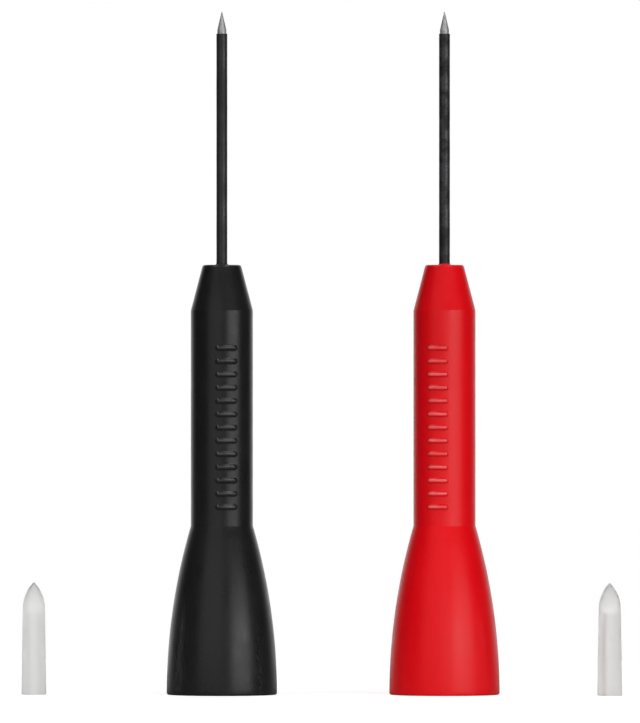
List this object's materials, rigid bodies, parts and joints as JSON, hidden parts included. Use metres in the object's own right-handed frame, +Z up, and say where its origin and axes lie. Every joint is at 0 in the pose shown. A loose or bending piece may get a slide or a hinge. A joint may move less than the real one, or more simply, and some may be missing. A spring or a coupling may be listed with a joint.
{
  "type": "needle test probe set",
  "caption": "Push-on needle test probes for meter leads, with flared bell handles, insulated steel needles and slip-off translucent needle caps.",
  "frame": {"origin": "on the surface that the set stands on, in the middle of the row", "axes": "+X along the row from the black probe's cap to the red probe's cap, +Y to the back (the raised bars of the grips face -Y), +Z up along the probes towards the needle points"},
  "size_m": [0.0658, 0.012, 0.0749],
  "materials": {
    "black_plastic": "satin moulded",
    "red_plastic": "satin moulded",
    "sleeve_coating": "semi-gloss coating",
    "needle_steel": "ground",
    "spring_steel": "rolled",
    "brass": "turned",
    "insulator": "moulded",
    "cap_plastic": "translucent moulded"
  },
  "bodies": {
    "black_probe": {"black_body": "black_plastic", "black_needle": "needle_steel", "black_needle_sleeve": "sleeve_coating", "black_needle_ferrule": "brass", "black_contact_socket": "brass", "black_contact_spring": "spring_steel", "black_socket_carrier": "insulator", "black_retaining_ring": "insulator"},
    "black_cap": {"black_cap": "cap_plastic"},
    "red_probe": {"red_body": "red_plastic", "red_needle": "needle_steel", "red_needle_sleeve": "sleeve_coating", "red_needle_ferrule": "brass", "red_contact_socket": "brass", "red_contact_spring": "spring_steel", "red_socket_carrier": "insulator", "red_retaining_ring": "insulator"},
    "red_cap": {"red_cap": "cap_plastic"}
  },
  "joints": [
    {"name": "red_probe_lift", "type": "slide", "parent": "black_probe", "child": "red_probe", "axis": [0, 0, 1], "range_m": [0, 0.08]},
    {"name": "black_cap_lift", "type": "slide", "parent": "black_probe", "child": "black_cap", "axis": [0, 0, 1], "range_m": [0, 0.08]},
    {"name": "red_cap_lift", "type": "slide", "parent": "black_probe", "child": "red_cap", "axis": [0, 0, 1], "range_m": [0, 0.08]}
  ]
}
